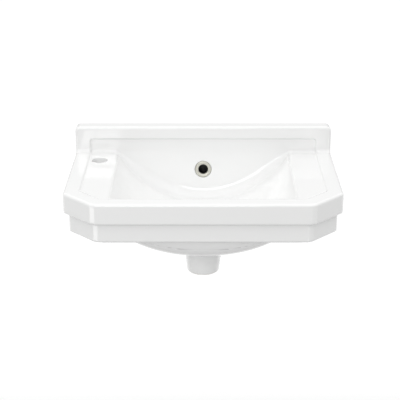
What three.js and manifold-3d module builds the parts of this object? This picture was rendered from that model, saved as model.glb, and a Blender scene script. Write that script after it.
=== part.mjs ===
// A wall-hung cloakroom washbasin in glazed vitreous china, with its overflow ring and its two wall fixings.
// Millimetres. +X is the user's right when facing the wall, +Y points into the wall and +Z is up.
// The origin is on the wall plane, midway between the two fixing bolts.
import * as THREE from 'three';
import { mergeVertices } from 'three/addons/utils/BufferGeometryUtils.js';
import Module from 'manifold-3d';

const wasm = await Module();
wasm.setup();
const { Manifold, Mesh: ManifoldMesh } = wasm;

// Overall form
const WIDTH = 500;
const DEPTH = 305;
const FRONT_CHAMFER = 56; // 45 degree cut across each front corner
const RIM_Z = 50; // rim plane above the fixing bolts
const EDGE_R = 5; // rounding of the tiers' top and bottom edges
const CORNER_R = 7; // rounding of the vertical corners

// Two-tier apron and the hollow behind it
const UPPER_TIER = 40;
const LOWER_TIER = 36;
const TIER_STEP = 9;
const SKIRT_WALL = 12;
const DECK_WALL = 12;
const BACK_WALL = 10;

// Splashback
const SPLASH_RISE = 51;
const SPLASH_THICK = 25;
const SPLASH_CORNER_R = 10;
const FRAME_TOP = 25; // width of the moulded frame above the panel
const PANEL_SINK = 4;
const PANEL_CORNER_R = 6;

// Rim band, ledges and tap hole
const RIM_BAND = 29;
const LEDGE_DROP = 3;
const TAP_R = 14.7;
const TAP_FROM_SIDE = 50;
const TAP_FROM_WALL = 65;

// Bowl: a broad trough that deepens to the drain and rounds up to the front wall
const BOWL_FROM_SIDE = 84;
const BOWL_DEPTH = 108; // ledge to lowest point
const BOWL_BACK_RISE = 19; // from the drain to the back of the floor
const BOWL_BACK = 65; // the floor rises no further than this short of the wall
const BOWL_SIDE_POWER = 0.85;
const BOWL_FRONT_POWER = 2.6;
const BACK_LEAN = THREE.MathUtils.degToRad(10); // back wall's lean away from the user
const DRAIN_FROM_FRONT = 145;

// Outer belly under the bowl, the hollow between the two walls, and the outlet boss
const BELLY_BEYOND_BOWL = 12; // at each side
const BELLY_BELOW_BOWL = 20;
const BELLY_SIDE_POWER = 0.41;
const BELLY_FRONT_POWER = 4;
const BELLY_FRONT_GAP = 8; // belly's front edge to the lower tier's face
const SHELL_WALL = 10;
const BOSS_LENGTH = 59; // below the belly
const BOSS_WALL = 7.5; // round the bore, at the boss's end
const BOSS_FLARE = 7; // radius gained from the boss's end up to the belly
const BOSS_EDGE = 2.5;
const BORE_R = 22.5;
const SEAT_WIDTH = 11.5; // flat ring round the bore for the waste's flange
const SEAT_SINK = 3;
const SLOT_WIDTH = 14;
const SLOT_HEIGHT = 6;
const SLOT_ROOF = 4; // china left between the waste's seat and the slot

// Overflow
const OVERFLOW_DROP = 36; // centre below the rim
const RING_HOLE_R = 9.5;
const RING_WALL = 1.6; // of the sleeve
const RING_RIM = 4.5; // flange beyond the hole in the china
const RING_FLANGE = 2.4;
const RING_SLEEVE = 12;
const RING_SINK = 3; // counterbore's depth
const FIT_GAP = 0.4;

// Wall fixings
const FIXING_FROM_SIDE = 60;
const HOLE_CLEAR = 0.5; // radial play round the bush in the china
const BOLT_R = 5;
const BOLT_CLEAR = 0.4; // radial play round the bolt
const BOLT_SPARE = 14; // bolt showing in front of the nut
const BOLT_IN_WALL = 52;
const BOLT_TIP_R = 1.5;
const BOLT_CHAMFER = 1.25;
const PLUG_WALL = 1.6;
const PLUG_TIP_R = 4.2;
const PLUG_END = 8; // plug beyond the bolt's tip
const PLUG_WALL_GAP = 1;
const BUSH_WALL = 1.6;
const BUSH_RIM = 6; // flange beyond the bush's tube
const BUSH_FLANGE = 2.5;
const GASKET_RIM = 1; // gasket beyond the bush's flange
const GASKET_THICK = 2;
const WASHER_THICK = 2;
const NUT_WALL = 3.5;
const NUT_THICK = 8;
const TOUCH = 0.3; // gap left between pieces that touch

const SIDES = { left: -1, right: 1 };
const ROUND = 32; // segments in a full circle
const CORNER_SEGMENTS = 4;
const BEVEL_SEGMENTS = 3;
const GRID_X = 26; // cells across a moulded surface
const GRID_Y = 20; // cells along it
const PAST = 20; // how far cutters run past what they cut

// Places that follow from the sizes above
const LEDGE_Z = RIM_Z - LEDGE_DROP;
const DECK_UNDER_Z = LEDGE_Z - DECK_WALL;
const APRON_BOTTOM_Z = RIM_Z - UPPER_TIER - LOWER_TIER;
const PANEL_Y = PANEL_SINK - SPLASH_THICK;
const PANEL_HALF = WIDTH / 2 - RIM_BAND;
const FRONT_INNER_Y = RIM_BAND - DEPTH;
const TAP_X = TAP_FROM_SIDE - WIDTH / 2;
const TAP_Y = -TAP_FROM_WALL;
const DRAIN_Y = DRAIN_FROM_FRONT - DEPTH;
const BOWL_HALF = WIDTH / 2 - BOWL_FROM_SIDE;
const BOWL_BOTTOM_Z = LEDGE_Z - BOWL_DEPTH;
const BELLY_HALF = BOWL_HALF + BELLY_BEYOND_BOWL;
const BELLY_DEPTH = BOWL_DEPTH + BELLY_BELOW_BOWL;
const BELLY_BOTTOM_Z = LEDGE_Z - BELLY_DEPTH;
const BOSS_END_R = BORE_R + BOSS_WALL;
const BOSS_END_Z = BELLY_BOTTOM_Z - BOSS_LENGTH;
const SEAT_Z = BOWL_BOTTOM_Z - SEAT_SINK;
const OVERFLOW_Z = RIM_Z - OVERFLOW_DROP;
const SLEEVE_R = RING_HOLE_R + RING_WALL;
const OVERFLOW_R = SLEEVE_R + FIT_GAP;
const RING_R = OVERFLOW_R + RING_RIM;
const FIXING_HALF = WIDTH / 2 - FIXING_FROM_SIDE;
const BOLT_HOLE_R = BOLT_R + BOLT_CLEAR;
const BUSH_R = BOLT_HOLE_R + BUSH_WALL;
const BUSH_FLANGE_R = BUSH_R + BUSH_RIM;
const GASKET_BACK = BACK_WALL + TOUCH;
const BUSH_BACK = GASKET_BACK + GASKET_THICK + TOUCH;
const WASHER_BACK = BUSH_BACK + BUSH_FLANGE + TOUCH;
const NUT_BACK = WASHER_BACK + WASHER_THICK + TOUCH;
const BOLT_FRONT = NUT_BACK + NUT_THICK + BOLT_SPARE;

// ---------- helpers ----------

function toSolid(geometry) {
  geometry.deleteAttribute('normal');
  geometry.deleteAttribute('uv');
  const merged = mergeVertices(geometry, 1e-4);
  return new Manifold(new ManifoldMesh({
    numProp: 3,
    vertProperties: Float32Array.from(merged.attributes.position.array),
    triVerts: Uint32Array.from(merged.index.array),
  }));
}

function toGeometry(solid) {
  const { vertProperties, triVerts } = solid.getMesh();
  const geometry = new THREE.BufferGeometry();
  geometry.setAttribute('position', new THREE.BufferAttribute(vertProperties, 3));
  geometry.setIndex(new THREE.BufferAttribute(triVerts, 1));
  geometry.computeVertexNormals();
  return geometry;
}

function box(low, high) {
  const size = high.map((value, axis) => value - low[axis]);
  const centre = high.map((value, axis) => (value + low[axis]) / 2);
  return toSolid(new THREE.BoxGeometry(...size).translate(...centre));
}

// A closed outline through corner points, each rounded to its own radius by an arc.
function roundedShape(corners) {
  const shape = new THREE.Shape();
  const count = corners.length;
  corners.forEach(([x, y, radius = 0], i) => {
    const here = new THREE.Vector2(x, y);
    const before = new THREE.Vector2(...corners[(i + count - 1) % count]).sub(here).normalize();
    const after = new THREE.Vector2(...corners[(i + 1) % count]).sub(here).normalize();
    const reach = radius / Math.tan(before.angleTo(after) / 2);
    const start = here.clone().addScaledVector(before, reach);
    const end = here.clone().addScaledVector(after, reach);
    if (i === 0) shape.moveTo(start.x, start.y);
    else shape.lineTo(start.x, start.y);
    if (radius > 0) shape.quadraticCurveTo(here.x, here.y, end.x, end.y);
  });
  shape.closePath();
  return shape;
}

function extrudeUp(shape, bottom, top, bevel = 0) {
  const geometry = new THREE.ExtrudeGeometry(shape, {
    depth: top - bottom - 2 * bevel,
    curveSegments: CORNER_SEGMENTS,
    bevelEnabled: bevel > 0,
    bevelThickness: bevel,
    bevelSize: bevel,
    bevelOffset: -bevel,
    bevelSegments: BEVEL_SEGMENTS,
  });
  return toSolid(geometry.translate(0, 0, bottom + bevel));
}

// Extrudes an outline drawn in X and Z towards the user, from y = back.
function extrudeForward(shape, back, thickness, bevel = 0) {
  const geometry = new THREE.ExtrudeGeometry(shape, {
    depth: thickness - 2 * bevel,
    curveSegments: CORNER_SEGMENTS,
    bevelEnabled: bevel > 0,
    bevelThickness: bevel,
    bevelSize: bevel,
    bevelOffset: -bevel,
    bevelSegments: BEVEL_SEGMENTS,
  });
  return toSolid(geometry.rotateX(Math.PI / 2).translate(0, back - bevel, 0));
}

// Turns a closed profile of [radius, height] about +Z.
function turned(profile) {
  const points = profile.map(([radius, height]) => new THREE.Vector2(radius, height));
  return toSolid(new THREE.LatheGeometry(points, ROUND).rotateX(Math.PI / 2));
}

function cylinder(radius, bottom, top) {
  return turned([[0, bottom], [radius, bottom], [radius, top], [0, top]]);
}

function ring(outer, inner, bottom, top) {
  return turned([[inner, bottom], [outer, bottom], [outer, top], [inner, top], [inner, bottom]]);
}

// ---------- basin ----------

// The plan of the body, drawn in by `inset` on the sides, the chamfers and the front.
function planOutline(inset, backY, cornerRadius) {
  const side = WIDTH / 2 - inset;
  const front = inset - DEPTH;
  const shrink = FRONT_CHAMFER + inset * (Math.SQRT2 - 1) - inset;
  const corners = [
    [side, backY],
    [-side, backY],
    [-side, front + shrink, cornerRadius],
    [-side + shrink, front, cornerRadius],
    [side - shrink, front, cornerRadius],
    [side, front + shrink, cornerRadius],
  ];
  return roundedShape(corners);
}

function apron() {
  const upper = extrudeUp(planOutline(0, PAST, CORNER_R), RIM_Z - UPPER_TIER, RIM_Z, EDGE_R);
  const lower = extrudeUp(
    planOutline(TIER_STEP, PAST, CORNER_R), APRON_BOTTOM_Z, RIM_Z - EDGE_R, EDGE_R);
  const hollow = extrudeUp(
    planOutline(TIER_STEP + SKIRT_WALL, -BACK_WALL, CORNER_R), APRON_BOTTOM_Z - PAST, DECK_UNDER_Z);
  return upper.add(lower).subtract(hollow);
}

function splashback() {
  const half = WIDTH / 2;
  const top = RIM_Z + SPLASH_RISE;
  const foot = DECK_UNDER_Z;
  const outline = roundedShape([
    [-half, foot], [half, foot], [half, top, SPLASH_CORNER_R], [-half, top, SPLASH_CORNER_R]]);
  return extrudeForward(outline, PAST, SPLASH_THICK + PAST, EDGE_R);
}

// A block whose underside follows floor(x, y), with its grid closer together towards the edges.
function moulded(half, frontY, backY, top, floor) {
  const block = new THREE.BoxGeometry(2, 2, 2, GRID_X, GRID_Y, 1);
  const position = block.attributes.position;
  for (let i = 0; i < position.count; i += 1) {
    const x = half * Math.sin(position.getX(i) * Math.PI / 2);
    const y = (frontY + backY) / 2 + (backY - frontY) / 2 * Math.sin(position.getY(i) * Math.PI / 2);
    const z = position.getZ(i) > 0 ? top : floor(x, y);
    position.setXYZ(i, x, y, z);
  }
  return toSolid(block);
}

// The bowl's space, or with `grow` the same space swollen by a wall's thickness.
function bowlSpace(grow = 0) {
  const half = BOWL_HALF + grow;
  const front = FRONT_INNER_Y - grow;
  const deepest = BOWL_DEPTH + grow;
  const floor = (x, y) => {
    const side = (1 - Math.min(1, (x / half) ** 2)) ** BOWL_SIDE_POWER;
    const ahead = Math.min(1, Math.max(0, (DRAIN_Y - y) / (DRAIN_Y - front)));
    const behind = Math.min(1, Math.max(0, (y - DRAIN_Y) / (-BOWL_BACK - DRAIN_Y)));
    const rounded = deepest * (1 - ahead ** BOWL_FRONT_POWER) ** (1 / BOWL_FRONT_POWER);
    const depth = rounded - BOWL_BACK_RISE * behind ** 2 * (3 - 2 * behind);
    return LEDGE_Z - depth * side;
  };
  const block = moulded(half, front, PANEL_Y + grow, RIM_Z + PAST, floor);
  const behindWall = new THREE.BoxGeometry(2 * WIDTH, DEPTH, DEPTH)
    .translate(0, DEPTH / 2 + grow, -DEPTH / 2 + PAST)
    .rotateX(-BACK_LEAN)
    .translate(0, PANEL_Y, LEDGE_Z);
  return block.subtract(toSolid(behindWall));
}

// The belly's outside, or with `shrink` its inside wall.
function belly(shrink = 0) {
  const half = BELLY_HALF - shrink;
  const front = TIER_STEP + BELLY_FRONT_GAP - DEPTH + shrink;
  const deepest = BELLY_DEPTH - shrink;
  const floor = (x, y) => {
    const side = (1 - Math.min(1, (x / half) ** 2)) ** BELLY_SIDE_POWER;
    const ahead = Math.min(1, Math.max(0, (DRAIN_Y - y) / (DRAIN_Y - front)));
    const depth = deepest * (1 - ahead ** BELLY_FRONT_POWER) ** (1 / BELLY_FRONT_POWER);
    return Math.min(DECK_UNDER_Z, LEDGE_Z - depth * side);
  };
  return moulded(half, front, -shrink, DECK_UNDER_Z + 1, floor);
}

function boss() {
  const rootR = BOSS_END_R + BOSS_FLARE;
  const root = LEDGE_Z - BELLY_DEPTH / 2;
  return turned([
    [0, BOSS_END_Z], [BOSS_END_R - BOSS_EDGE, BOSS_END_Z], [BOSS_END_R, BOSS_END_Z + BOSS_EDGE],
    [rootR, BELLY_BOTTOM_Z], [rootR, root], [0, root],
  ]).translate([0, DRAIN_Y, 0]);
}

// The hollow between bowl and belly: water from the overflow runs down it to the slot in the outlet.
function overflowPassage() {
  const hollow = belly(SHELL_WALL)
    .subtract(bowlSpace(SHELL_WALL))
    .subtract(box([-WIDTH, -DEPTH, DECK_UNDER_Z - 1], [WIDTH, PAST, RIM_Z]));
  const outletWall = cylinder(BORE_R + SHELL_WALL, BELLY_BOTTOM_Z, LEDGE_Z).translate([0, DRAIN_Y, 0]);
  return hollow.subtract(outletWall);
}

function outlet() {
  const bore = cylinder(BORE_R, BOSS_END_Z - PAST, LEDGE_Z);
  const seat = cylinder(BORE_R + SEAT_WIDTH, SEAT_Z, LEDGE_Z);
  const slotTop = SEAT_Z - SLOT_ROOF;
  const slotEnd = BORE_R + SHELL_WALL + PAST;
  const slot = box([-SLOT_WIDTH / 2, 0, slotTop - SLOT_HEIGHT], [SLOT_WIDTH / 2, slotEnd, slotTop]);
  return bore.add(seat).add(slot).translate([0, DRAIN_Y, 0]);
}

// Moves a solid turned about +Z onto the back wall, its axis square to the wall and +Z towards the user.
const overflowPlace = new THREE.Matrix4()
  .makeTranslation(0, PANEL_Y - (LEDGE_Z - OVERFLOW_Z) * Math.tan(BACK_LEAN), OVERFLOW_Z)
  .multiply(new THREE.Matrix4().makeRotationX(Math.PI / 2 - BACK_LEAN));

function overflowCut() {
  const hole = cylinder(OVERFLOW_R, -RING_SLEEVE, PAST);
  const counterbore = cylinder(RING_R + FIT_GAP, -RING_SINK, PAST);
  return hole.add(counterbore).transform(overflowPlace.elements);
}

function recesses() {
  const ledge = extrudeUp(planOutline(RIM_BAND, PANEL_Y, CORNER_R), LEDGE_Z, RIM_Z + PAST);
  const top = RIM_Z + SPLASH_RISE - FRAME_TOP;
  const panelOutline = roundedShape([
    [-PANEL_HALF, LEDGE_Z], [PANEL_HALF, LEDGE_Z],
    [PANEL_HALF, top, PANEL_CORNER_R], [-PANEL_HALF, top, PANEL_CORNER_R]]);
  const panel = extrudeForward(panelOutline, PANEL_Y, SPLASH_THICK);
  return ledge.intersect(box([-WIDTH, -DEPTH, LEDGE_Z], [WIDTH, -SPLASH_THICK, RIM_Z + PAST])).add(panel);
}

function basin() {
  let body = apron().add(splashback()).add(belly()).add(boss());
  body = body.subtract(recesses()).subtract(bowlSpace()).subtract(overflowPassage());
  body = body.subtract(outlet()).subtract(overflowCut());
  body = body.subtract(cylinder(TAP_R, DECK_UNDER_Z - PAST, RIM_Z).translate([TAP_X, TAP_Y, 0]));
  for (const side of Object.values(SIDES)) {
    const hole = cylinder(BUSH_R + HOLE_CLEAR, -PAST, BACK_WALL + PAST).rotate([90, 0, 0]);
    body = body.subtract(hole.translate([side * FIXING_HALF, 0, 0]));
  }
  return body.subtract(box([-WIDTH, 0, -WIDTH], [WIDTH, 2 * PAST, WIDTH]));
}

// ---------- overflow ring ----------

function overflowRing() {
  const back = FIT_GAP - RING_SINK;
  const end = FIT_GAP - RING_SLEEVE;
  return turned([
    [RING_HOLE_R, end], [SLEEVE_R, end], [SLEEVE_R, back], [RING_R, back],
    [RING_R, back + RING_FLANGE / 2], [RING_R - RING_FLANGE / 2, back + RING_FLANGE],
    [RING_HOLE_R, back + RING_FLANGE], [RING_HOLE_R, end],
  ]);
}

// ---------- wall fixings, each turned about +Z with +Z towards the user ----------

function wallPlug() {
  const mouth = -PLUG_WALL_GAP;
  const bottom = mouth - BOLT_IN_WALL - PLUG_END;
  const radius = BOLT_HOLE_R + PLUG_WALL;
  const boreEnd = -BOLT_IN_WALL - PLUG_END / 2;
  return turned([
    [0, bottom], [PLUG_TIP_R, bottom], [radius, bottom + PLUG_END], [radius, mouth],
    [BOLT_HOLE_R, mouth], [BOLT_HOLE_R, boreEnd], [0, boreEnd],
  ]);
}

function hangerBolt() {
  return turned([
    [0, -BOLT_IN_WALL], [BOLT_TIP_R, -BOLT_IN_WALL], [BOLT_R, -BOLT_IN_WALL + 2 * BOLT_R],
    [BOLT_R, BOLT_FRONT - BOLT_CHAMFER], [BOLT_R - BOLT_CHAMFER, BOLT_FRONT], [0, BOLT_FRONT],
  ]);
}

function bush() {
  return turned([
    [BOLT_HOLE_R, TOUCH], [BUSH_R, TOUCH], [BUSH_R, BUSH_BACK], [BUSH_FLANGE_R, BUSH_BACK],
    [BUSH_FLANGE_R, BUSH_BACK + BUSH_FLANGE], [BOLT_HOLE_R, BUSH_BACK + BUSH_FLANGE],
    [BOLT_HOLE_R, TOUCH],
  ]);
}

function nut() {
  const hexagon = new THREE.Shape();
  const corner = 2 * (BOLT_R + NUT_WALL) / Math.sqrt(3);
  for (let i = 0; i < 6; i += 1) {
    const angle = i * Math.PI / 3;
    const point = [corner * Math.cos(angle), corner * Math.sin(angle)];
    if (i === 0) hexagon.moveTo(...point);
    else hexagon.lineTo(...point);
  }
  hexagon.closePath();
  const block = new THREE.ExtrudeGeometry(hexagon, { depth: NUT_THICK, bevelEnabled: false });
  return toSolid(block.translate(0, 0, NUT_BACK))
    .subtract(cylinder(BOLT_HOLE_R, NUT_BACK - PAST, NUT_BACK + NUT_THICK + PAST));
}

// ---------- assembly ----------

const china = new THREE.MeshStandardMaterial({ color: 0xf4f4f2, roughness: 0.12, metalness: 0 });
const nickel = new THREE.MeshStandardMaterial({ color: 0xd2d2c6, roughness: 0.3, metalness: 0.8 });
const zinc = new THREE.MeshStandardMaterial({ color: 0xb9bcc0, roughness: 0.35, metalness: 1 });
const nylon = new THREE.MeshStandardMaterial({ color: 0xe6e4dc, roughness: 0.5, metalness: 0 });
const greyNylon = new THREE.MeshStandardMaterial({ color: 0x8d9096, roughness: 0.6, metalness: 0 });
const rubber = new THREE.MeshStandardMaterial({ color: 0x1c1c1c, roughness: 0.85, metalness: 0 });

function piece(name, solid, material) {
  const mesh = new THREE.Mesh(toGeometry(solid), material);
  mesh.name = name;
  return mesh;
}

const washbasin = new THREE.Group();
washbasin.add(piece('basin', basin(), china));

const ringPiece = piece('overflow_ring', overflowRing(), nickel);
ringPiece.applyMatrix4(overflowPlace);
washbasin.add(ringPiece);

for (const [sideName, side] of Object.entries(SIDES)) {
  const fixing = new THREE.Group();
  fixing.position.set(side * FIXING_HALF, 0, 0);
  fixing.rotation.x = Math.PI / 2;
  fixing.add(
    piece(`wall_plug_${sideName}`, wallPlug(), greyNylon),
    piece(`hanger_bolt_${sideName}`, hangerBolt(), zinc),
    piece(`bush_${sideName}`, bush(), nylon),
    piece(`gasket_${sideName}`,
      ring(BUSH_FLANGE_R + GASKET_RIM, BUSH_R + TOUCH, GASKET_BACK, GASKET_BACK + GASKET_THICK), rubber),
    piece(`washer_${sideName}`,
      ring(BUSH_FLANGE_R, BOLT_HOLE_R, WASHER_BACK, WASHER_BACK + WASHER_THICK), zinc),
    piece(`nut_${sideName}`, nut(), zinc),
  );
  washbasin.add(fixing);
}

export default washbasin;
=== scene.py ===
"""A wall-hung cloakroom washbasin in glazed vitreous china, with its overflow ring and its wall fixings.

Sizes are in millimetres until a mesh is made, in the frame's axes: +X the user's right, +Y into the wall
and +Z up, from the point on the wall midway between the fixing bolts.
"""
import math

import bpy
import numpy as np
from mathutils import Matrix, Vector


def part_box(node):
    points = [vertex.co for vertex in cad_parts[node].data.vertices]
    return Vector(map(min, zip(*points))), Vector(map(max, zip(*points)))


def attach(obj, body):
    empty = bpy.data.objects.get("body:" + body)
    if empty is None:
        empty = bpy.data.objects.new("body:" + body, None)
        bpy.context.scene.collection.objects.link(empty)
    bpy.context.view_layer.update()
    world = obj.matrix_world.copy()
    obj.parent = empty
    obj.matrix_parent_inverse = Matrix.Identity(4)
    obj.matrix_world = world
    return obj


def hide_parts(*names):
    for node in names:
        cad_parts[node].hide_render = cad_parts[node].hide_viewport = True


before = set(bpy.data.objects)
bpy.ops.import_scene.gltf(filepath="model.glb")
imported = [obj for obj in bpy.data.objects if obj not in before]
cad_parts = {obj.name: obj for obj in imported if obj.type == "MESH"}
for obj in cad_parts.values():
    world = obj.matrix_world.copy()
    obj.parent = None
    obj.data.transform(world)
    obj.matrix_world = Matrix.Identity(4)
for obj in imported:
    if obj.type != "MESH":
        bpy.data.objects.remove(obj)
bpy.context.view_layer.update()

MM = 0.001
BODY = "root"

basin_low, basin_high = (np.array(corner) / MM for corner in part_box("basin"))
HALF_WIDTH = basin_high[0]
DEPTH = -basin_low[1]
TOP_Z = basin_high[2]
BOSS_END_Z = basin_low[2]

# The tiers and the rim
RIM_Z = 50
UPPER_TIER = 40
LOWER_TIER = 36
TIER_STEP = 9
FRONT_CHAMFER = 56
EDGE_ROLL = 5
CORNER_EASE = 3.2
CORNER_FLAT = 2.2
CORNER_ROLL = 0.6
STEP_NOOK = 2.2
SKIRT_WALL = 12
DECK_WALL = 12
BACK_WALL = 10

# The splashback and its panel
SPLASH_THICK = 25
SPLASH_CORNER = 10
DECK_FILLET = 7.5
FRAME_TOP = 25
PANEL_SINK = 4
PANEL_CORNER = 6
STEP_ROLL = 3

# The ledges, the bowl and its back wall
RIM_BAND = 29
LEDGE_DROP = 3
BOWL_FROM_SIDE = 84
BOWL_DEPTH = 108
BOWL_BACK_RISE = 19
BOWL_BACK = 65
BOWL_SIDE_POWER = 0.85
BOWL_FRONT_POWER = 2.6
BACK_LEAN = math.radians(10)
BACK_FILLET = 22
CREASE_ROLL = 3
CREASE_ROLL_BACK = 8
DRAIN_FROM_FRONT = 145
DRAIN_BORE = 22.5
SEAT_R = 34
SEAT_SINK = 3

# The belly and the outlet boss
BELLY_BEYOND_BOWL = 12
BELLY_BELOW_BOWL = 20
BELLY_SIDE_POWER = 0.41
BELLY_FRONT_POWER = 4
BELLY_FRONT_GAP = 8
BELLY_FILLET = 5
BOSS_LENGTH = 59
BOSS_END_R = 30
BOSS_FLARE = 7
BOSS_FILLET = 6

# Holes
TAP = (-200, -65, 14.7)
OVERFLOW_DROP = 36
OVERFLOW_R = 11.5
COUNTERBORE_R = 16.4
COUNTERBORE = 3
OVERFLOW_HOLE_REACH = 16
FIXING_HALF = 190
FIXING_HOLE_R = 7.5

# The duct behind the overflow, whose inside is painted near-black as painted shade
DUCT_OFF_WALL = 12
DUCT_R = 7
DUCT_END_Z = -50
DUCT_BACK_WALL = 4

LEDGE_Z = RIM_Z - LEDGE_DROP
DECK_UNDER_Z = LEDGE_Z - DECK_WALL
APRON_BOTTOM_Z = RIM_Z - UPPER_TIER - LOWER_TIER
PANEL_Y = PANEL_SINK - SPLASH_THICK
DRAIN_Y = DRAIN_FROM_FRONT - DEPTH
BOWL_HALF = HALF_WIDTH - BOWL_FROM_SIDE
BOWL_BOTTOM_Z = LEDGE_Z - BOWL_DEPTH
BELLY_HALF = BOWL_HALF + BELLY_BEYOND_BOWL
BELLY_DEPTH = BOWL_DEPTH + BELLY_BELOW_BOWL
OVERFLOW_Z = RIM_Z - OVERFLOW_DROP
OVERFLOW_Y = PANEL_Y - (LEDGE_Z - OVERFLOW_Z) * math.tan(BACK_LEAN)

VERGE = 1e-8  # keeps the slopes finite where a floor turns upright


# ---------- the china's form: distances in millimetres, below zero inside ----------


def joined(a, b, fillet):
    """Both forms together, with a fillet where they meet."""
    near = np.hypot(np.maximum(fillet - a, 0), np.maximum(fillet - b, 0))
    return np.maximum(fillet, np.minimum(a, b)) - near


def common(a, b, roll):
    """What both forms share, with a rolled edge where they meet."""
    return np.minimum(-roll, np.maximum(a, b)) + np.hypot(np.maximum(roll + a, 0), np.maximum(roll + b, 0))


def without(a, b, roll):
    return common(a, -b, roll)


def ease(value, low, high):
    """From 0 at low to 1 at high, smoothly."""
    t = np.clip((value - low) / (high - low), 0, 1)
    return t * t * (3 - 2 * t)


def plan(x, y, inset):
    """The body's outline from above, drawn in by inset on the sides, the chamfers and the front.

    A narrow flat eases each corner between a chamfer and the front.
    """
    side = np.abs(x) - HALF_WIDTH + inset
    front = -y - DEPTH + inset
    chamfer = (np.abs(x) - y - HALF_WIDTH - DEPTH + FRONT_CHAMFER) / math.sqrt(2) + inset
    turn = math.radians(22.5)
    corner = (np.abs(x) - HALF_WIDTH + FRONT_CHAMFER) * math.sin(turn) - (y + DEPTH) * math.cos(turn)
    eased = corner + inset / math.cos(turn) + CORNER_FLAT
    return common(common(common(side, chamfer, CORNER_EASE), eased, CORNER_ROLL), front, CORNER_ROLL)


def trough(x, y, z, half, front, deepest, side_power, front_power, back_rise):
    """Distance to a moulded floor that falls from the ledge to its deepest over the drain.

    It is below zero above the floor.
    """
    across = np.clip(1 - (x / half) ** 2, VERGE, 1)
    ahead = np.clip((DRAIN_Y - y) / (DRAIN_Y - front), 0, 1)
    behind = np.clip((y - DRAIN_Y) / (-BOWL_BACK - DRAIN_Y), 0, 1)
    left = np.clip(1 - ahead**front_power, VERGE, 1)
    depth = deepest * left ** (1 / front_power) - back_rise * behind**2 * (3 - 2 * behind)
    floor = LEDGE_Z - depth * across**side_power
    slope_x = depth * side_power * across ** (side_power - 1) * 2 * x / half**2
    steep = deepest * left ** (1 / front_power - 1) * ahead ** (front_power - 1) / (DRAIN_Y - front)
    rising = 6 * back_rise * behind * (1 - behind) / (-BOWL_BACK - DRAIN_Y)
    slope_y = (steep + rising) * across**side_power
    above = (floor - z) / np.sqrt(1 + slope_x**2 + slope_y**2)
    outside = np.maximum(np.abs(x) - half, front - y)
    return np.where(outside > 0, outside + np.maximum(above, 0), above)


def shell(x, y, z):
    """The splashback, deck and two-tier apron, hollow behind the apron."""
    stepped = joined(z - RIM_Z, -SPLASH_THICK - y, DECK_FILLET)
    outline = common(plan(x, y, 0), z - TOP_Z, SPLASH_CORNER)
    upper = common(common(stepped, outline, EDGE_ROLL), RIM_Z - UPPER_TIER - z, EDGE_ROLL)
    lower = common(common(plan(x, y, TIER_STEP), z - RIM_Z + EDGE_ROLL, 1), APRON_BOTTOM_Z - z, EDGE_ROLL - 1)
    hollow = common(plan(x, y, TIER_STEP + SKIRT_WALL), z - DECK_UNDER_Z, 4)
    hollow = common(hollow, y + BACK_WALL, 3)
    return without(joined(upper, lower, STEP_NOOK), hollow, 3)


def belly_and_boss(x, y, z):
    front = TIER_STEP + BELLY_FRONT_GAP - DEPTH
    belly = trough(x, y, z, BELLY_HALF, front, BELLY_DEPTH, BELLY_SIDE_POWER, BELLY_FRONT_POWER, 0)
    belly = np.maximum(belly, z - DECK_UNDER_Z - DECK_WALL / 2)
    from_axis = np.hypot(x, y - DRAIN_Y)
    cone = from_axis - BOSS_END_R - BOSS_FLARE * (z - BOSS_END_Z) / BOSS_LENGTH
    boss = np.maximum(common(cone, BOSS_END_Z - z, 3), z - LEDGE_Z + BELLY_DEPTH / 2)
    return joined(belly, boss, BOSS_FILLET)


def bowl(x, y, z):
    """All that is hollowed out of the top: panel, ledges and bowl."""
    floor = trough(x, y, z, BOWL_HALF, RIM_BAND - DEPTH, BOWL_DEPTH, BOWL_SIDE_POWER, BOWL_FRONT_POWER,
                   BOWL_BACK_RISE)
    roll = CREASE_ROLL + (CREASE_ROLL_BACK - CREASE_ROLL) * ease(y, -85, -35)
    surface = without(z - LEDGE_Z, floor, roll)
    leaning = (y - PANEL_Y + (LEDGE_Z - z) * math.tan(BACK_LEAN)) * math.cos(BACK_LEAN)
    wall = common(y - PANEL_Y, leaning, 1)
    fillet = DECK_FILLET + (BACK_FILLET - DECK_FILLET) * ease(LEDGE_Z - z, -4, 34)
    open_space = common(-surface, wall, fillet)
    outline = common(plan(x, y, RIM_BAND), z - TOP_Z + FRAME_TOP, PANEL_CORNER)
    return common(open_space, outline, STEP_ROLL)


def overflow_axis(x, y, z):
    """Distance from the overflow's axis, and distance along it from the back wall towards the user."""
    along = (OVERFLOW_Y - y) * math.cos(BACK_LEAN) + (z - OVERFLOW_Z) * math.sin(BACK_LEAN)
    across = (OVERFLOW_Y - y) * math.sin(BACK_LEAN) - (z - OVERFLOW_Z) * math.cos(BACK_LEAN)
    return np.hypot(x, across), along


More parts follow.
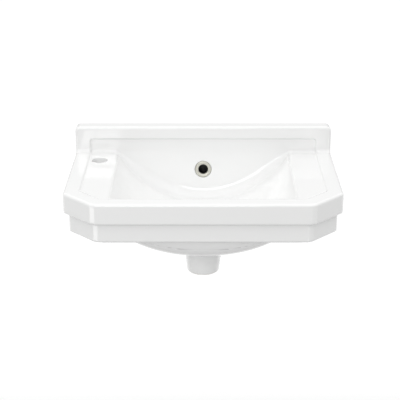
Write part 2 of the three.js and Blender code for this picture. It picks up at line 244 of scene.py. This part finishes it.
def china(x, y, z):
    form = joined(shell(x, y, z), belly_and_boss(x, y, z), BELLY_FILLET)
    form = without(form, bowl(x, y, z), STEP_ROLL)
    from_drain = np.hypot(x, y - DRAIN_Y)
    form = without(form, common(from_drain - SEAT_R, BOWL_BOTTOM_Z - SEAT_SINK - z, 1.5), 2)
    form = without(form, from_drain - DRAIN_BORE, 2)
    from_hole, along = overflow_axis(x, y, z)
    duct = np.maximum(np.hypot(x, y + DUCT_OFF_WALL) - DUCT_R, z - OVERFLOW_Z)
    duct = np.maximum(duct, DUCT_END_Z - z)
    form = without(form, np.maximum(duct, y + DUCT_BACK_WALL), 1)
    near_wall = np.abs(along) - OVERFLOW_HOLE_REACH
    form = without(form, np.maximum(from_hole - OVERFLOW_R, near_wall), 1)
    counterbore = common(from_hole - COUNTERBORE_R, -COUNTERBORE - along, 0.6)
    form = without(form, np.maximum(counterbore, near_wall), 0.8)
    tap_x, tap_y, tap_r = TAP
    form = without(form, np.hypot(x - tap_x, y - tap_y) - tap_r, 1.6)
    fixing = np.maximum(np.hypot(np.abs(x) - FIXING_HALF, z) - FIXING_HOLE_R, -BACK_WALL - 2 - y)
    return common(without(form, fixing, 0.8), y, 1.5)


# ---------- meshing ----------


def lines(*stops):
    """Grid lines from the first stop to the last, spaced as each (place, spacing) says and evenly between."""
    places, spacings = zip(*stops)
    made = [places[0]]
    while made[-1] < places[-1]:
        made.append(made[-1] + np.interp(made[-1], places, spacings))
    return np.array(made)


def skinned(form, x_lines, y_lines, z_lines):
    """Quads over the form's surface: one point in each grid cell that the surface crosses, drawn onto it."""
    field = form(x_lines[:, None, None], y_lines[None, :, None], z_lines[None, None, :])
    inside = field < 0
    grid = (x_lines, y_lines, z_lines)
    cells = np.array([len(line) - 1 for line in grid])
    strides = np.array([cells[1] * cells[2], cells[2], 1])
    owners, crossings, faces = [], [], []
    for axis in range(3):
        near = [slice(None)] * 3
        far = [slice(None)] * 3
        near[axis], far[axis] = slice(None, -1), slice(1, None)
        near, far = tuple(near), tuple(far)
        where = np.argwhere(inside[near] != inside[far])
        low, high = field[near][tuple(where.T)], field[far][tuple(where.T)]
        share = low / (low - high)
        point = np.stack([grid[i][where[:, i]] for i in range(3)], axis=1)
        line = grid[axis]
        point[:, axis] += share * (line[where[:, axis] + 1] - line[where[:, axis]])
        second, third = (axis + 1) % 3, (axis + 2) % 3
        corners = []
        for step_second, step_third in ((1, 1), (0, 1), (0, 0), (1, 0)):
            cell = where.copy()
            cell[:, second] -= step_second
            cell[:, third] -= step_third
            corners.append(cell @ strides)
            owners.append(cell @ strides)
            crossings.append(point)
        quad = np.stack(corners, axis=1)
        outward = low < 0
        faces.append(np.where(outward[:, None], quad, quad[:, ::-1]))
    owners, crossings = np.concatenate(owners), np.concatenate(crossings)
    used, index = np.unique(owners, return_inverse=True)
    count = np.bincount(index)
    points = np.stack([np.bincount(index, crossings[:, i]) / count for i in range(3)], axis=1)
    faces = np.searchsorted(used, np.concatenate(faces))
    for _ in range(4):
        value = form(*points.T)
        slope = gradient(form, points, 0.05)
        step = -value[:, None] * slope / np.maximum((slope**2).sum(axis=1), 0.25)[:, None]
        length = np.linalg.norm(step, axis=1)[:, None]
        points = points + step * np.minimum(1, 0.6 / np.maximum(length, 1e-6))
    return points, faces


def gradient(form, points, reach):
    slope = np.empty_like(points)
    for axis in range(3):
        shift = np.zeros(3)
        shift[axis] = reach
        slope[:, axis] = (form(*(points + shift).T) - form(*(points - shift).T)) / (2 * reach)
    return slope


def add_piece(name, points, faces, finish, cad_nodes):
    """An object from points in millimetres, smooth, riding on the body and standing for its CAD nodes."""
    mesh = bpy.data.meshes.new(name)
    mesh.from_pydata((np.asarray(points, dtype=float) * MM).tolist(), [], [list(face) for face in faces])
    mesh.polygons.foreach_set("use_smooth", [True] * len(mesh.polygons))
    mesh.materials.append(finish)
    mesh.update()
    piece = bpy.data.objects.new(name, mesh)
    bpy.context.scene.collection.objects.link(piece)
    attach(piece, BODY)
    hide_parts(*cad_nodes)
    return piece


# ---------- finishes ----------


class Wire:
    """A value in a finish's node tree. Arithmetic on wires adds Math nodes."""

    def __init__(self, finish, socket):
        self.finish = finish
        self.socket = socket

    def math(self, operation, *values):
        return self.finish.add("ShaderNodeMath", {"operation": operation}, dict(enumerate(values)))

    def __add__(self, other):
        return self.math("ADD", self, other)

    def __sub__(self, other):
        return self.math("SUBTRACT", self, other)

    def __rsub__(self, other):
        return self.math("SUBTRACT", other, self)

    def __mul__(self, other):
        return self.math("MULTIPLY", self, other)

    def __truediv__(self, other):
        return self.math("DIVIDE", self, other)

    __radd__ = __add__
    __rmul__ = __mul__

    def between(self, low, high):
        """From 0 where the value is low to 1 where it is high."""
        inputs = {"Value": self, "From Min": low, "From Max": high}
        return self.finish.add("ShaderNodeMapRange", {"interpolation_type": "SMOOTHSTEP"}, inputs)


class Finish:
    """The node tree of a material, or of a world, under construction."""

    def __init__(self, owner):
        self.owner = owner
        owner.use_nodes = True
        self.tree = owner.node_tree
        self.tree.nodes.clear()

    def add(self, kind, settings=None, inputs=None, output=0):
        node = self.tree.nodes.new(kind)
        for key, value in (settings or {}).items():
            setattr(node, key, value)
        for key, value in (inputs or {}).items():
            if isinstance(value, Wire):
                self.tree.links.new(value.socket, node.inputs[key])
            else:
                node.inputs[key].default_value = value
        return Wire(self, node.outputs[output]) if len(node.outputs) else None

    def place(self):
        return self.add("ShaderNodeTexCoord", output="Object")

    def noise(self, scale, detail=3, roughness=0.5):
        """Noise from 0 to 1, with features about 1 / scale metres across."""
        inputs = {"Vector": self.place(), "Scale": scale, "Detail": detail, "Roughness": roughness}
        return self.add("ShaderNodeTexNoise", {"noise_dimensions": "3D"}, inputs, "Fac")

    def blend(self, amount, first, second):
        """From the first colour to the second as the amount goes from 0 to 1."""
        inputs = {"Factor": amount, 6: first, 7: second}
        return self.add("ShaderNodeMix", {"data_type": "RGBA"}, inputs, 2)

    def bump(self, height, distance, strength=1):
        inputs = {"Height": height, "Distance": distance, "Strength": strength}
        return self.add("ShaderNodeBump", {}, inputs)

    def mark(self, name):
        return self.add("ShaderNodeAttribute", {"attribute_name": name}, {}, "Fac")

    def done(self, **sockets):
        inputs = {name.replace("_", " "): value for name, value in sockets.items()}
        surface = self.add("ShaderNodeBsdfPrincipled", {}, inputs)
        self.add("ShaderNodeOutputMaterial", {}, {"Surface": surface})
        return self.owner


def glazed_china():
    """White glaze over cream biscuit, bare against the wall and on the boss's end, with painted shade:
    near-black in the overflow hole and its duct.
    """
    finish = Finish(bpy.data.materials.new("glazed_china"))
    bare = finish.mark("bare")
    painted_shade = finish.mark("painted_shade")
    cloud = finish.noise(9)
    speck = finish.noise(900, 2).between(0.62, 0.72)
    glaze = finish.blend(cloud, (0.925, 0.927, 0.923, 1), (0.905, 0.907, 0.902, 1))
    grain = finish.noise(420, 5, 0.65)
    biscuit = finish.blend(grain, (0.78, 0.74, 0.66, 1), (0.86, 0.83, 0.76, 1))
    biscuit = finish.blend(speck, biscuit, (0.55, 0.49, 0.4, 1))
    colour = finish.blend(bare, glaze, biscuit)
    # Painted shade: the overflow hole and its duct are coloured near-black where they only lie in shadow.
    colour = finish.blend(painted_shade, colour, (0.012, 0.012, 0.013, 1))
    ripple = finish.noise(38, 2) * (1 - bare) + grain * bare
    roughness = finish.noise(70, 2) * 0.03 + 0.07 + bare * 0.6 + painted_shade * 0.5
    normal = finish.bump(ripple, 0.00012, 0.35)
    return finish.done(Base_Color=colour, Roughness=roughness, Normal=normal, IOR=1.6,
                       Coat_Weight=(1 - bare) * (1 - painted_shade) * 0.6, Coat_Roughness=0.03, Coat_IOR=1.55)


def plated(name, light, shade, roughness, scratch_scale):
    """Plated metal with a faint cloud and fine polishing marks."""
    finish = Finish(bpy.data.materials.new(name))
    cloud = finish.noise(120, 3)
    fine = finish.noise(scratch_scale, 4, 0.6)
    colour = finish.blend(cloud, light, shade)
    rough = fine * 0.12 + cloud * 0.06 + roughness
    normal = finish.bump(fine, 0.00004, 0.5)
    return finish.done(Base_Color=colour, Metallic=1.0, Roughness=rough, Normal=normal)


def moulded(name, light, shade, roughness):
    """Moulded nylon or rubber: slightly mottled, with the fine spark-eroded grain of its mould."""
    finish = Finish(bpy.data.materials.new(name))
    cloud = finish.noise(160, 3)
    grain = finish.noise(2600, 3, 0.6)
    colour = finish.blend(cloud, light, shade)
    rough = grain * 0.15 + roughness
    return finish.done(Base_Color=colour, Roughness=rough, Normal=finish.bump(grain, 0.00006, 0.6))


CHINA = glazed_china()
NICKEL = plated("satin_nickel", (0.72, 0.71, 0.64, 1), (0.62, 0.61, 0.54, 1), 0.24, 1500)
ZINC = plated("bright_zinc", (0.74, 0.76, 0.79, 1), (0.6, 0.62, 0.66, 1), 0.22, 2200)
NYLON = moulded("natural_nylon", (0.84, 0.83, 0.77, 1), (0.78, 0.77, 0.7, 1), 0.38)
GREY_NYLON = moulded("grey_nylon", (0.36, 0.38, 0.41, 1), (0.3, 0.32, 0.35, 1), 0.45)
RUBBER = moulded("black_rubber", (0.022, 0.022, 0.022, 1), (0.035, 0.034, 0.033, 1), 0.7)


# ---------- the basin ----------


def mirrored(*stops):
    return [(-place, spacing) for place, spacing in reversed(stops)] + list(stops[1:])


def make_basin():
    edge = HALF_WIDTH + 2.5
    x_lines = lines(*mirrored((0, 3), (36, 3), (52, 6), (138, 6), (156, 3), (170, 2.4), (184, 3), (214, 2.8),
                              (219, 1.4), (224, 1.4), (230, 3), (240, 2), (edge, 1.5)))
    y_lines = lines((-DEPTH - 2.5, 1.5), (-294, 2.2), (-280, 1.8), (-270, 3), (-240, 5), (-196, 5),
                    (-186, 2.8), (-134, 2.8), (-124, 5), (-84, 2.8), (-48, 2.6), (-34, 1.7), (-19, 1.2),
                    (2.5, 1.6))
    z_lines = lines((BOSS_END_Z - 2.5, 1.5), (-134, 3.4), (-92, 3.6), (-84, 2.8), (-60, 2.4), (-45, 3.4),
                    (-28, 1.7), (-20, 3.6), (2, 3.6), (7, 1.6), (13, 1.6), (20, 3.4), (32, 2.6), (43, 1.5),
                    (47, 0.9), (51, 1), (60, 2.4), (72, 2), (77, 1.2), (92, 3), (98, 1.6),
                    (TOP_Z + 2.5, 1.3))
    points, faces = skinned(china, x_lines, y_lines, z_lines)
    basin = add_piece("china_basin", points, faces, CHINA, ["basin"])
    mesh = basin.data
    slope = gradient(china, points, 0.2)
    slope /= np.maximum(np.linalg.norm(slope, axis=1), 1e-6)[:, None]
    mesh.normals_split_custom_set_from_vertices(slope.tolist())
    x, y, z = points.T
    wall_side = 1 - ease(-y, 0.3, 1.6)
    boss_end = 1 - ease(z, BOSS_END_Z + 0.5, BOSS_END_Z + 3)
    bare = np.clip(wall_side + boss_end, 0, 1)
    # Painted shade mask: the overflow hole's inside and the duct behind it, coloured near-black where there
    # is only shadow.
    from_hole, along = overflow_axis(x, y, z)
    off_wall = ease(-y, 1, 2)
    in_hole = (1 - ease(from_hole, OVERFLOW_R + 0.2, OVERFLOW_R + 0.8)) * (1 - ease(along, -4.5, -3.4))
    painted_shade = in_hole * off_wall
    in_duct = 1 - ease(np.hypot(x, y + DUCT_OFF_WALL), DUCT_R + 0.5, DUCT_R + 1.5)
    duct = in_duct * ease(z, DUCT_END_Z - 2, DUCT_END_Z) * off_wall * (z < OVERFLOW_Z)
    for name, values in (("bare", bare), ("painted_shade", np.maximum(painted_shade, duct))):
        attribute = mesh.attributes.new(name, "FLOAT", "POINT")
        attribute.data.foreach_set("value", values.astype(np.float32))
    return basin


# ---------- turned and hexagonal pieces ----------


def rounded(corners, steps=4):
    """A closed outline with each (r, z, radius) corner rounded by an arc of its radius."""
    outline = []
    count = len(corners)
    for i, (r, z, radius) in enumerate(corners):
        here = np.array([r, z], dtype=float)
        before = np.array(corners[i - 1][:2]) - here
        after = np.array(corners[(i + 1) % count][:2]) - here
        before /= np.linalg.norm(before)
        after /= np.linalg.norm(after)
        if radius == 0:
            outline.append(here)
            continue
        half = math.acos(np.clip(before @ after, -1, 1)) / 2
        bisector = (before + after) / np.linalg.norm(before + after)
        centre = here + bisector * radius / math.sin(half)
        start = here + before * radius / math.tan(half) - centre
        end = here + after * radius / math.tan(half) - centre
        turn = math.atan2(start[0] * end[1] - start[1] * end[0], start @ end)
        for step in range(steps + 1):
            angle = turn * step / steps
            swing = np.array([[math.cos(angle), -math.sin(angle)], [math.sin(angle), math.cos(angle)]])
            outline.append(centre + swing @ start)
    return outline


def turned(outline, segments=96):
    """A closed outline of (r, z) turned about Z. Points on the axis become single points."""
    points, rows = [], []
    angles = [2 * math.pi * i / segments for i in range(segments)]
    for r, z in outline:
        if r < 1e-6:
            rows.append([len(points)] * segments)
            points.append((0, 0, z))
        else:
            rows.append(list(range(len(points), len(points) + segments)))
            points.extend((r * math.cos(angle), r * math.sin(angle), z) for angle in angles)
    faces = []
    for row, above in zip(rows, rows[1:] + rows[:1]):
        for i in range(segments):
            j = (i + 1) % segments
            face = list(dict.fromkeys((row[i], row[j], above[j], above[i])))
            if len(face) > 2:
                faces.append(face)
    return points, faces


def placed(points, matrix):
    return [tuple(matrix @ Vector(point)) for point in points]


def finely(outline, step):
    """The outline with no side longer than the step, its side along the axis apart."""
    made = []
    for here, there in zip(outline, outline[1:] + outline[:1]):
        here, there = np.array(here, dtype=float), np.array(there, dtype=float)
        on_axis = here[0] < 1e-6 and there[0] < 1e-6
        count = 1 if on_axis else max(1, math.ceil(np.linalg.norm(there - here) / step))
        made.extend(here + (there - here) * i / count for i in range(count))
    return made


class Ridges(Finish):
    """A Geometry Nodes tree that draws a turned form in towards its axis between two heights.

    It makes rings, or a thread where Starts is 1, and straight grooves where Grooves is above 0.
    """

    SIZES = {"Low": 0, "High": 1, "Pitch": 1, "Depth": 0.5, "Starts": 1, "Keep": 1, "Grooves": 0}

    def __init__(self, material):
        self.tree = bpy.data.node_groups.new("ridges", "GeometryNodeTree")
        self.tree.interface.new_socket("Form", in_out="INPUT", socket_type="NodeSocketGeometry")
        self.identifiers = {}
        for name, value in self.SIZES.items():
            socket = self.tree.interface.new_socket(name, in_out="INPUT", socket_type="NodeSocketFloat")
            socket.default_value = value
            self.identifiers[name] = socket.identifier
        self.tree.interface.new_socket("Form", in_out="OUTPUT", socket_type="NodeSocketGeometry")
        entry = self.tree.nodes.new("NodeGroupInput")
        form = Wire(self, entry.outputs["Form"])
        sizes = (Wire(self, entry.outputs[name]) for name in self.SIZES)
        low, high, pitch, depth, starts, keep, grooves = sizes
        place = self.add("GeometryNodeInputPosition")
        x, y, z = (self.add("ShaderNodeSeparateXYZ", {}, {0: place}, axis) for axis in "XYZ")
        radius = x.math("SQRT", x * x + y * y)
        turn = y.math("ARCTAN2", y, x) / (2 * math.pi)
        phase = z.math("FRACT", z / pitch - turn * starts)
        valley = z.math("ABSOLUTE", phase * 2 - 1)
        groove = z.math("GREATER_THAN", z.math("ABSOLUTE", z.math("FRACT", turn * grooves) - 0.5), 0.44)
        groove = groove * z.math("GREATER_THAN", grooves, 0.5)
        ends = z.math("MINIMUM", (z - low) / pitch, (high - z) / pitch)
        ends = z.math("MINIMUM", z.math("MAXIMUM", ends * 2, 0), 1)
        inward = depth * z.math("MAXIMUM", valley, groove) * ends * z.math("GREATER_THAN", radius, keep)
        share = inward / z.math("MAXIMUM", radius, 0.001) * -1
        offset = self.add("ShaderNodeCombineXYZ", {}, {"X": x * share, "Y": y * share})
        moved = self.add("GeometryNodeSetPosition", {}, {"Geometry": form, "Offset": offset})
        real = self.add("GeometryNodeRealizeInstances", {}, {"Geometry": moved})
        finished = self.add("GeometryNodeSetMaterial", {}, {"Geometry": real, "Material": material})
        leave = self.tree.nodes.new("NodeGroupOutput")
        self.tree.links.new(finished.socket, leave.inputs["Form"])


def ridged(points, faces, material, *bands):
    """The form with each band's ridges drawn into it, as a plain mesh's points and faces."""
    ridges = Ridges(material)
    mesh = bpy.data.meshes.new("form")
    mesh.from_pydata([tuple(point) for point in points], [], faces)
    form = bpy.data.objects.new("form", mesh)
    bpy.context.scene.collection.objects.link(form)
    for band in bands:
        modifier = form.modifiers.new("ridges", "NODES")
        modifier.node_group = ridges.tree
        for name, value in band.items():
            modifier[ridges.identifiers[name]] = float(value)
    depsgraph = bpy.context.evaluated_depsgraph_get()
    plain = bpy.data.meshes.new_from_object(form.evaluated_get(depsgraph))
    points = [tuple(vertex.co) for vertex in plain.vertices]
    faces = [tuple(polygon.vertices) for polygon in plain.polygons]
    form.modifiers.clear()
    bpy.data.objects.remove(form)
    bpy.data.meshes.remove(plain)
    return points, faces


OVERFLOW_PLACE = (Matrix.Translation((0, OVERFLOW_Y, OVERFLOW_Z))
                  @ Matrix.Rotation(math.pi / 2 - BACK_LEAN, 4, "X"))


def make_overflow_ring():
    back = 0.4 - COUNTERBORE
    face = back + 2.4
    outline = rounded([(9.5, -11.6, 0.4), (11.1, -11.6, 0.4), (11.1, back, 0.2), (16, back, 0.4),
                       (16, back + 1.2, 1), (14.4, face, 1.2), (12.2, face, 1), (9.5, face - 1.4, 0.8)], 6)
    points, faces = turned(outline, 128)
    return add_piece("nickel_overflow_ring", placed(points, OVERFLOW_PLACE), faces, NICKEL,
                     ["overflow_ring"])


# The fixings, turned about Z with +Z towards the user, from the wall plane
SIDES = {"left": -1, "right": 1}
BOLT_R = 5
BOLT_HOLE_R = 5.4
BOLT_IN_WALL = 52
BOLT_FRONT = 39.7
BUSH_R = 7
FLANGE_R = 13
BUSH_BACK = 12.6
BUSH_FACE = 15.1
PLUG_LENGTH = 61
PLUG_R = 7
PLUG_TIP_R = 4.2
GASKET_BORE_R = 7.3
GASKET_R = 13.7
GASKET_BACK = 10.3
GASKET_FACE = 12.3
WASHER_BACK = 15.4
WASHER_FACE = 17.4
NUT_BACK = 17.7
NUT_FACE = 25.7
NUT_FLAT = 8.5


def hanger_bolt():
    """Machine thread in front, plain round the middle, and a coarse tapered thread in the plug."""
    chamfer = 1.25
    outline = rounded([(0, -BOLT_IN_WALL, 0), (1.5, -BOLT_IN_WALL, 0.4), (BOLT_R, 10 - BOLT_IN_WALL, 2),
                       (BOLT_R, BOLT_FRONT - chamfer, 0.3), (BOLT_R - chamfer, BOLT_FRONT, 0.3),
                       (0, BOLT_FRONT, 0)])
    points, faces = turned(finely(outline, 0.27), 64)
    machine = {"Low": 3, "High": BOLT_FRONT + 0.4, "Pitch": 1.5, "Depth": 0.75, "Starts": 1, "Keep": 3.9}
    coarse = {"Low": -BOLT_IN_WALL, "High": -6, "Pitch": 3.6, "Depth": 1.1, "Starts": 1, "Keep": 1.6}
    return ridged(points, faces, ZINC, machine, coarse)


def wall_plug():
    """Barbed all along, with straight grooves where it splits as the bolt goes in, and a plain collar."""
    outline = rounded([(0, -PLUG_LENGTH, 0), (PLUG_TIP_R, -PLUG_LENGTH, 1.5), (PLUG_R, 8 - PLUG_LENGTH, 2),
                       (PLUG_R, -1, 0.4), (BOLT_HOLE_R, -1, 0.3), (BOLT_HOLE_R, 4 - PLUG_LENGTH, 0),
                       (0, 4 - PLUG_LENGTH, 0)])
    points, faces = turned(finely(outline, 0.6), 72)
    barbs = {"Low": 5 - PLUG_LENGTH, "High": -9, "Pitch": 4.7, "Depth": 0.9, "Starts": 0, "Keep": 5.9,
             "Grooves": 4}
    return ridged(points, faces, GREY_NYLON, barbs)


def bush():
    """A tube through the china, with a flange that the washer bears on."""
    return turned(rounded([(BOLT_HOLE_R, 0.3, 0.2), (BUSH_R, 0.3, 0.6), (BUSH_R, BUSH_BACK, 0.3),
                           (FLANGE_R, BUSH_BACK, 0.4), (FLANGE_R, BUSH_FACE, 0.7),
                           (BOLT_HOLE_R, BUSH_FACE, 0.4)]), 72)


def gasket():
    """Rubber, its outer edge swollen a little where it is squeezed."""
    middle = (GASKET_BACK + GASKET_FACE) / 2
    swollen = 14
    return turned(rounded([(GASKET_BORE_R, GASKET_BACK, 0.3), (GASKET_R, GASKET_BACK, 0.3),
                           (swollen, middle, 0.8), (GASKET_R, GASKET_FACE, 0.3),
                           (GASKET_BORE_R, GASKET_FACE, 0.3)]), 72)


def washer():
    """Stamped: rolled on the side that went into the die first, sharper on the other."""
    return turned(rounded([(BOLT_HOLE_R, WASHER_BACK, 0.15), (FLANGE_R, WASHER_BACK, 0.2),
                           (FLANGE_R, WASHER_FACE, 0.6), (BOLT_HOLE_R, WASHER_FACE, 0.4)]), 72)


def nut():
    """Hexagonal, its corners turned off at 30 degrees on both faces and its bore countersunk."""
    mouth, bore = BOLT_HOLE_R + 0.7, BOLT_HOLE_R - 0.2
    outline = [(bore, NUT_BACK + 0.9), (mouth, NUT_BACK), (NUT_FLAT - 0.35, NUT_BACK),
               (NUT_FLAT, NUT_BACK + 0.1), (NUT_FLAT, NUT_BACK + 0.3), (NUT_FLAT, NUT_FACE - 0.3),
               (NUT_FLAT, NUT_FACE - 0.1), (NUT_FLAT - 0.35, NUT_FACE), (mouth, NUT_FACE),
               (bore, NUT_FACE - 0.9)]
    points, faces = turned(outline, 96)
    middle = (NUT_BACK + NUT_FACE) / 2
    shaped = []
    for x, y, z in points:
        radius = math.hypot(x, y)
        if radius > NUT_FLAT - 0.01:
            sector = math.radians(60)
            from_flat = (math.atan2(y, x) + sector) % sector - sector / 2
            stretch = min(1 / math.cos(from_flat), 1.145)
            corner = NUT_FLAT * (stretch - 1) * math.tan(math.radians(30))
            x, y = x * stretch, y * stretch
            z += corner if z < middle else -corner
        shaped.append((x, y, z))
    return shaped, faces


FIXING_PIECES = (
    ("hanger_bolt", hanger_bolt, ZINC, "zinc"),
    ("wall_plug", wall_plug, GREY_NYLON, "grey_nylon"),
    ("bush", bush, NYLON, "nylon"),
    ("gasket", gasket, RUBBER, "rubber"),
    ("washer", washer, ZINC, "zinc"),
    ("nut", nut, ZINC, "zinc"),
)


def make_fixings():
    for name, form, finish, slot in FIXING_PIECES:
        points, faces = form()
        for side_name, side in SIDES.items():
            place = Matrix.Translation((side * FIXING_HALF, 0, 0)) @ Matrix.Rotation(math.pi / 2, 4, "X")
            add_piece(f"{slot}_{name}_{side_name}", placed(points, place), faces, finish,
                      [f"{name}_{side_name}"])


make_basin()
make_overflow_ring()
make_fixings()


# ---------- camera, floor and light ----------


FLOOR_Z = -0.85
HORIZON_GLOW = 0.42
ZENITH_GLOW = 1.34


def make_camera():
    data = bpy.data.cameras.new("camera")
    data.lens = 97.95
    data.sensor_width = 36
    data.shift_x = -0.008
    camera = bpy.data.objects.new("camera", data)
    camera.location = (0, -2.0479, 0.75015)
    camera.rotation_euler = (math.radians(68.37), 0, 0)
    bpy.context.scene.collection.objects.link(camera)
    bpy.context.scene.camera = camera


def make_floor():
    finish = Finish(bpy.data.materials.new("pale_floor"))
    cloud = finish.noise(1.5, 2)
    colour = finish.blend(cloud, (0.515, 0.515, 0.515, 1), (0.5, 0.5, 0.5, 1))
    backwards = finish.add("ShaderNodeSeparateXYZ", {}, {"Vector": finish.place()}, "Y")
    # Painted light: the floor glows, not at all in front of the basin and up to half white behind it, as a
    # pool of light that a lamp behind would cast.
    glow = finish.blend(backwards.between(-0.1, 0.7), (0, 0, 0, 1), (0.5, 0.5, 0.5, 1))
    reach = 60  # metres
    mesh = bpy.data.meshes.new("floor")
    corners = [(-reach, -reach), (reach, -reach), (reach, reach), (-reach, reach)]
    mesh.from_pydata([(x, y, FLOOR_Z) for x, y in corners], [], [(0, 1, 2, 3)])
    pale = finish.done(Base_Color=colour, Roughness=0.9, Emission_Color=glow, Emission_Strength=1)
    mesh.materials.append(pale)
    floor = bpy.data.objects.new("floor", mesh)
    bpy.context.scene.collection.objects.link(floor)


def softbox(name, place, aim, width, height, brightness):
    data = bpy.data.lights.new(name, "AREA")
    data.shape = "RECTANGLE"
    data.size = width
    data.size_y = height
    data.energy = brightness * math.pi * width * height
    light = bpy.data.objects.new(name, data)
    light.location = place
    light.rotation_euler = (Vector(aim) - light.location).to_track_quat("-Z", "Y").to_euler()
    light.visible_camera = False
    bpy.context.scene.collection.objects.link(light)


def make_light():
    world = bpy.data.worlds.new("studio")
    sky = Finish(world)
    direction = sky.add("ShaderNodeTexCoord", output="Generated")
    height = sky.add("ShaderNodeSeparateXYZ", {}, {"Vector": direction}, "Z")
    glow = sky.add("ShaderNodeMapRange", {}, {"Value": height, "To Min": HORIZON_GLOW, "To Max": ZENITH_GLOW})
    background = sky.add("ShaderNodeBackground", {}, {"Color": (1, 1, 1, 1), "Strength": glow})
    sky.add("ShaderNodeOutputWorld", {}, {"Surface": background})
    bpy.context.scene.world = world
    bpy.context.scene.view_settings.view_transform = "Standard"
    softbox("key", (-0.8, -2.95, 1.4), (0, -0.15, 0), 2.2, 1.0, 2.5)
    softbox("left_box", (-1.49, -1.35, -0.6), (-0.19, -0.3, 0), 0.5, 0.4, 1.5)
    softbox("right_strip", (1.2, -1.65, -0.6), (0.19, -0.3, 0), 0.12, 0.4, 3)


make_camera()
make_floor()
make_light()
